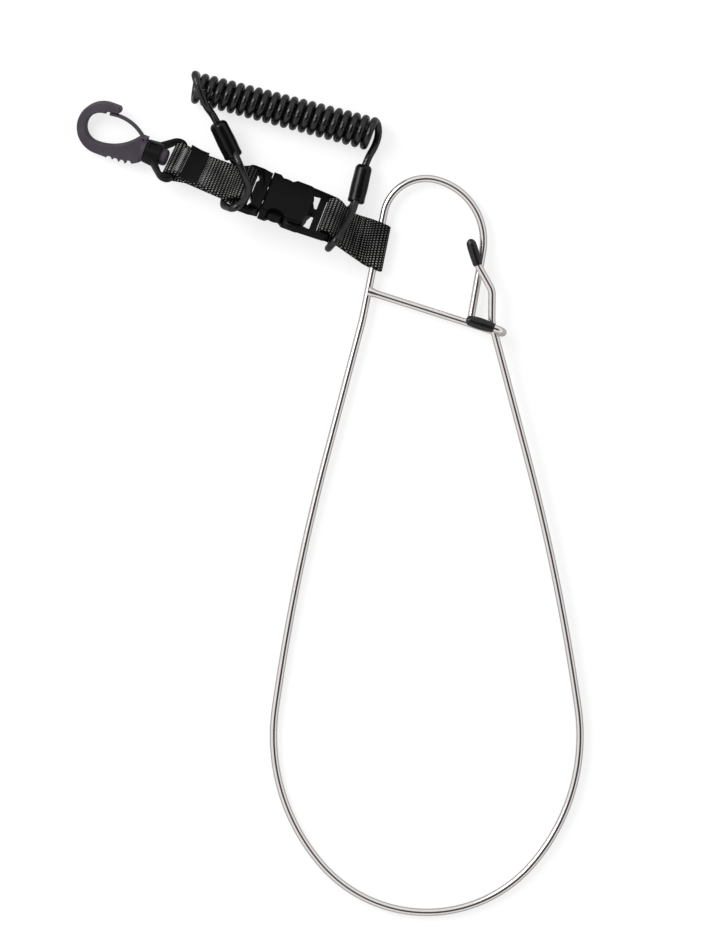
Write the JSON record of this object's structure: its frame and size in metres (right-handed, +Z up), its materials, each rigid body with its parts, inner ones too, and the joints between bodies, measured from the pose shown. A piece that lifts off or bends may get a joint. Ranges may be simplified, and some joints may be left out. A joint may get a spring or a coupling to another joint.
{
  "type": "fish stringer",
  "caption": "Teardrop wire fish loop with a keeper bar and squeeze-to-open leg, on a webbing strap with side-release buckle, coiled safety lanyard and swivel snap hook",
  "frame": {"origin": "centre of the plan, on the surface that the stringer lies on", "axes": "+Z up from the surface towards the camera, +Y along the loop from its round end to its crook, +X to the right of the picture; metres"},
  "size_m": [0.2736, 0.4561, 0.0335],
  "materials": {
    "stainless_wire": "polished stainless wire",
    "black_vinyl": "dipped gloss vinyl",
    "webbing": "ribbed woven nylon",
    "label_tape": "smooth tape, left bare",
    "buckle_plastic": "satin moulded acetal",
    "hook_plastic": "satin moulded acetal",
    "gate_plastic": "satin",
    "pin_steel": "bright",
    "coated_cord": "satin polyurethane coating",
    "shrink_sleeve": "gloss shrink tube",
    "crimp_metal": "pressed"
  },
  "bodies": {
    "ring": {"ring_wire": "stainless_wire", "keeper_bar": "stainless_wire", "keeper_sleeve": "black_vinyl"},
    "spring_leg": {"leg_wire": "stainless_wire", "tip_cap": "black_vinyl"},
    "socket_side": {"strap_right": "webbing", "buckle_socket": "buckle_plastic", "eye_right": "coated_cord", "crimp_right": "crimp_metal", "sleeve_right": "shrink_sleeve", "lead_right": "coated_cord", "coil_cord": "coated_cord"},
    "plug_side": {"buckle_plug": "buckle_plastic", "strap_left": "webbing", "strap_label": "label_tape", "eye_left": "coated_cord", "crimp_left": "crimp_metal", "sleeve_left": "shrink_sleeve", "lead_left": "coated_cord"},
    "prong_right": {"prong_right": "buckle_plastic"},
    "prong_left": {"prong_left": "buckle_plastic"},
    "swivel": {"swivel_base": "hook_plastic"},
    "hook": {"hook_body": "hook_plastic", "gate_pin": "pin_steel"},
    "gate": {"hook_gate": "gate_plastic"}
  },
  "joints": [
    {"name": "leg_squeeze", "type": "hinge", "parent": "ring", "child": "spring_leg", "pos_m": [0.0522, -0.216, 0.00205], "axis": [0, -0.023, 0.9997], "range_deg": [0, 4], "stiffness_Nm_per_rad": 36, "springref_deg": -1.72},
    {"name": "strap_swing", "type": "hinge", "parent": "ring", "child": "socket_side", "pos_m": [0.02556, 0.14168, 0.00502], "axis": [0.1977, 0.9802, 0.0082], "range_deg": [0, 90]},
    {"name": "buckle_release", "type": "slide", "parent": "socket_side", "child": "plug_side", "axis": [-0.9361, 0.3518, 0], "range_m": [0, 0.038], "deforming": ["coil_cord", "lead_left", "prong_right", "prong_left"]},
    {"name": "prong_right_press", "type": "hinge", "parent": "plug_side", "child": "prong_right", "pos_m": [-0.03874, 0.16244, 0.02327], "axis": [0.2354, 0.6263, 0.7431], "range_deg": [0, 13], "stiffness_Nm_per_rad": 0.6, "springref_deg": -2.86},
    {"name": "prong_left_press", "type": "hinge", "parent": "plug_side", "child": "prong_left", "pos_m": [-0.03351, 0.17635, 0.00988], "axis": [-0.2354, -0.6263, -0.7431], "range_deg": [0, 13], "stiffness_Nm_per_rad": 0.6, "springref_deg": -2.86},
    {"name": "shackle_pivot", "type": "hinge", "parent": "plug_side", "child": "swivel", "pos_m": [-0.08274, 0.18691, 0.01123], "axis": [-0.3588, -0.7711, 0.526], "range_deg": [-60, 60]},
    {"name": "hook_swivel", "type": "hinge", "parent": "swivel", "child": "hook", "pos_m": [-0.09947, 0.1932, 0.00904], "axis": [-0.9291, 0.3492, -0.1219], "continuous": true},
    {"name": "gate_open", "type": "hinge", "parent": "hook", "child": "gate", "pos_m": [-0.10012, 0.19925, 0.01007], "axis": [-0.1958, -0.1848, 0.9631], "range_deg": [0, 25], "stiffness_Nm_per_rad": 0.08, "springref_deg": -8.59}
  ],
  "couplings": [
    {"joint": "prong_left_press", "follows": "prong_right_press", "ratio": 1}
  ]
}
